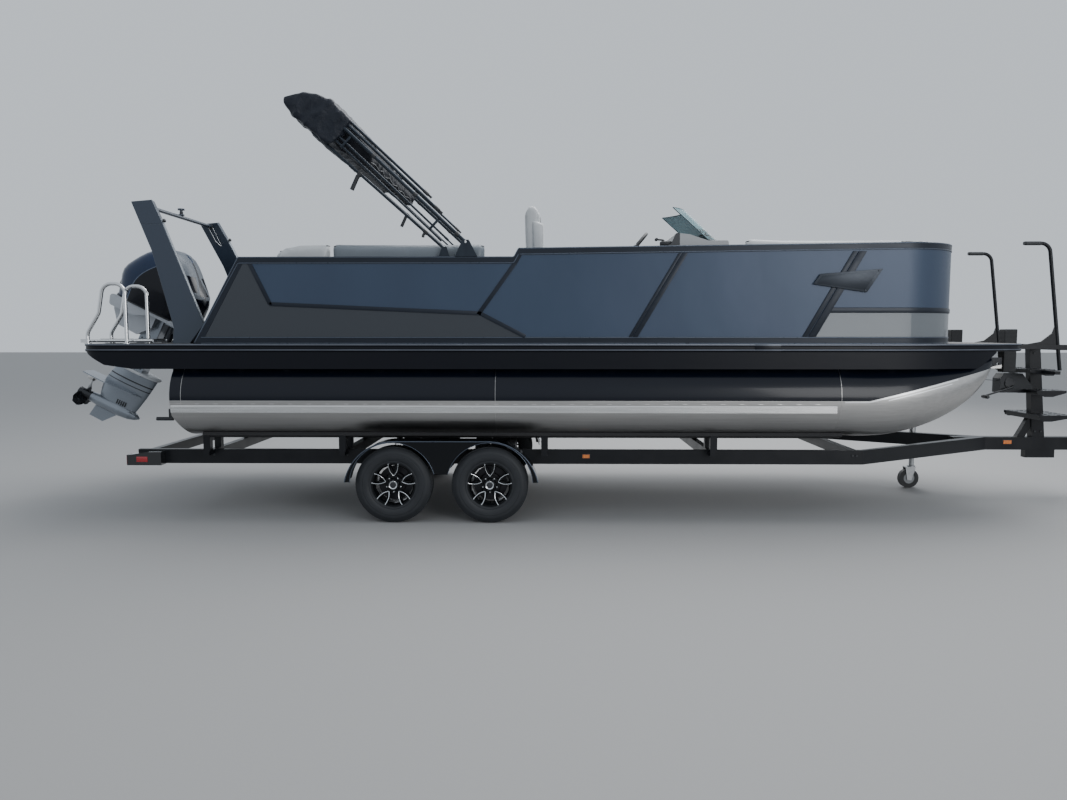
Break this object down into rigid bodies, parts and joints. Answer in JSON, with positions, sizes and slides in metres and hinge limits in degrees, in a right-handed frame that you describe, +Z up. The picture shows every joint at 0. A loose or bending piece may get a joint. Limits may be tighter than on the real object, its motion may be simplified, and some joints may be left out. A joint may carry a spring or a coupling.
{
  "type": "pontoon boat on trailer",
  "caption": "Pontoon boat with fenced deck, folded top, tow arch and tilted outboard motor, parked on its tandem-axle trailer.",
  "frame": {"origin": "on the ground, under the middle of the whole length, on the centre plane", "axes": "+X to the bow and the trailer coupler, +Y to port, +Z up"},
  "size_m": [10.5701, 2.59, 3.7295],
  "materials": {
    "upholstery_grey": "matte vinyl",
    "seat_base_plastic": "textured",
    "canvas_black": "woven",
    "black_tube": "satin anodised",
    "stainless": "polished",
    "galvanised_steel": "galvanised",
    "black_aluminium": "satin powder coat",
    "panel_blue": "gloss paint",
    "panel_charcoal": "gloss paint",
    "black_rubber": "matte",
    "carpeted_board": "carpeted",
    "motor_grey": "satin paint",
    "motor_silver": "satin paint",
    "motor_light_grey": "satin paint",
    "motor_dark_blue": "gloss paint",
    "raw_aluminium": "brushed",
    "deck_board": "woven vinyl",
    "black_steel": "gloss paint",
    "satin_aluminium": "satin",
    "console_plastic": "satin",
    "caster_plastic": "moulded",
    "wheel_black": "moulded",
    "arch_black": "satin powder coat",
    "lamp_plastic": "moulded",
    "acrylic_teal": "tinted",
    "tyre": "moulded",
    "rim_black": "gloss paint with machined edges"
  },
  "bodies": {
    "boat_on_trailer": {"aft_cushions": "upholstery_grey", "axles": "black_steel", "bimini_mounts": "black_tube", "boarding_steps": "black_steel", "bow_cushions": "upholstery_grey", "bow_pads": "black_rubber", "bunk_brackets": "black_steel", "bunks": "carpeted_board", "clamp_bracket": "motor_grey", "coupler": "black_steel", "cross_members": "raw_aluminium", "deck": "deck_board", "deck_edge_trim": "black_aluminium", "fence_frame_left": "black_aluminium", "fence_frame_right": "black_aluminium", "fence_trims": "black_aluminium", "fenders": "black_steel", "helm_chair_pedestal": "satin_aluminium", "helm_console": "console_plastic", "jack_post": "galvanised_steel", "lifting_strakes": "raw_aluminium", "lounge_bases": "seat_base_plastic", "panels_lower": "panel_charcoal", "panels_upper": "panel_blue", "pontoons": "raw_aluminium", "stern_handrails": "stainless", "tow_arch": "arch_black", "trailer_frame": "black_steel", "trailer_lights": "lamp_plastic", "transducer": "wheel_black", "winch": "black_steel", "winch_stand": "black_steel", "windscreen": "acrylic_teal"},
    "swivel_bracket": {"swivel_bracket": "motor_grey"},
    "outboard": {"motor_leg": "motor_silver", "motor_pan": "motor_light_grey", "motor_cowl": "motor_dark_blue"},
    "propeller": {"propeller": "stainless"},
    "steering_wheel": {"steering_wheel": "wheel_black"},
    "helm_chair": {"helm_chair": "upholstery_grey"},
    "bow_gate": {"bow_gate": "black_aluminium"},
    "side_gate": {"side_gate": "black_aluminium"},
    "stern_gate": {"stern_gate": "black_aluminium"},
    "boarding_ladder": {"boarding_ladder": "stainless"},
    "folding_top": {"bimini_main_bow": "black_tube", "bimini_inner_bows": "black_tube", "bimini_boot": "canvas_black"},
    "top_braces": {"bimini_braces": "black_tube"},
    "jack_fork": {"jack_fork": "galvanised_steel"},
    "jack_wheel": {"jack_wheel": "caster_plastic"},
    "wheel_front_left": {"rim_front_left": "rim_black", "tyre_front_left": "tyre"},
    "wheel_front_right": {"rim_front_right": "rim_black", "tyre_front_right": "tyre"},
    "wheel_rear_left": {"rim_rear_left": "rim_black", "tyre_rear_left": "tyre"},
    "wheel_rear_right": {"rim_rear_right": "rim_black", "tyre_rear_right": "tyre"}
  },
  "joints": [
    {"name": "wheel_front_left_spin", "type": "hinge", "parent": "boat_on_trailer", "child": "wheel_front_left", "pos_m": [-0.962, 1.17, 0.3315], "axis": [0, 1, 0], "continuous": true},
    {"name": "wheel_front_right_spin", "type": "hinge", "parent": "boat_on_trailer", "child": "wheel_front_right", "pos_m": [-0.962, -1.17, 0.3315], "axis": [0, 1, 0], "continuous": true},
    {"name": "wheel_rear_left_spin", "type": "hinge", "parent": "boat_on_trailer", "child": "wheel_rear_left", "pos_m": [-1.797, 1.17, 0.3315], "axis": [0, 1, 0], "continuous": true},
    {"name": "wheel_rear_right_spin", "type": "hinge", "parent": "boat_on_trailer", "child": "wheel_rear_right", "pos_m": [-1.797, -1.17, 0.3315], "axis": [0, 1, 0], "continuous": true},
    {"name": "jack_swivel", "type": "hinge", "parent": "boat_on_trailer", "child": "jack_fork", "pos_m": [3.413, 0.428, 0.232], "axis": [0, 0, 1], "continuous": true},
    {"name": "jack_wheel_spin", "type": "hinge", "parent": "jack_fork", "child": "jack_wheel", "pos_m": [3.383, 0.428, 0.1015], "axis": [0, 1, 0], "continuous": true},
    {"name": "outboard_tilt", "type": "hinge", "parent": "boat_on_trailer", "child": "swivel_bracket", "pos_m": [-4.077, 0, 1.602], "axis": [0, 1, 0], "range_deg": [-26, 25]},
    {"name": "outboard_steer", "type": "hinge", "parent": "swivel_bracket", "child": "outboard", "pos_m": [-4.24777, 0, 1.68529], "axis": [0.4384, 0, 0.8988], "range_deg": [-30, 30]},
    {"name": "propeller_spin", "type": "hinge", "parent": "outboard", "child": "propeller", "pos_m": [-4.51099, 0, 0.7122], "axis": [0.8988, 0, -0.4384], "continuous": true},
    {"name": "steering_wheel_turn", "type": "hinge", "parent": "boat_on_trailer", "child": "steering_wheel", "pos_m": [0.321, -0.76, 2.406], "axis": [0.766, 0, -0.6428], "range_deg": [-540, 540]},
    {"name": "helm_chair_swivel", "type": "hinge", "parent": "boat_on_trailer", "child": "helm_chair", "pos_m": [-0.37, -0.72, 1.935], "axis": [0, 0, 1], "continuous": true},
    {"name": "bow_gate_swing", "type": "hinge", "parent": "boat_on_trailer", "child": "bow_gate", "pos_m": [3.124, 0.322, 1.9], "axis": [0, 0, 1], "range_deg": [-90, 0]},
    {"name": "side_gate_swing", "type": "hinge", "parent": "boat_on_trailer", "child": "side_gate", "pos_m": [0.812, 1.197, 1.9], "axis": [0, 0, 1], "range_deg": [0, 90]},
    {"name": "stern_gate_swing", "type": "hinge", "parent": "boat_on_trailer", "child": "stern_gate", "pos_m": [-3.07, 0.996, 1.9], "axis": [0, 0, 1], "range_deg": [0, 90]},
    {"name": "boarding_ladder_fold", "type": "hinge", "parent": "boat_on_trailer", "child": "boarding_ladder", "pos_m": [-4.51, -0.99, 1.572], "axis": [0, -1, 0], "range_deg": [0, 245]},
    {"name": "top_fold", "type": "hinge", "parent": "boat_on_trailer", "child": "folding_top", "pos_m": [-1.157, 0, 2.404], "axis": [0, 1, 0], "range_deg": [-28, 47]},
    {"name": "top_brace_fold", "type": "hinge", "parent": "boat_on_trailer", "child": "top_braces", "pos_m": [-1.341, 0, 2.352], "axis": [0, 1, 0], "range_deg": [-28, 47]}
  ],
  "couplings": [
    {"joint": "steering_wheel_turn", "follows": "outboard_steer", "ratio": 18},
    {"joint": "top_brace_fold", "follows": "top_fold", "ratio": 1}
  ]
}
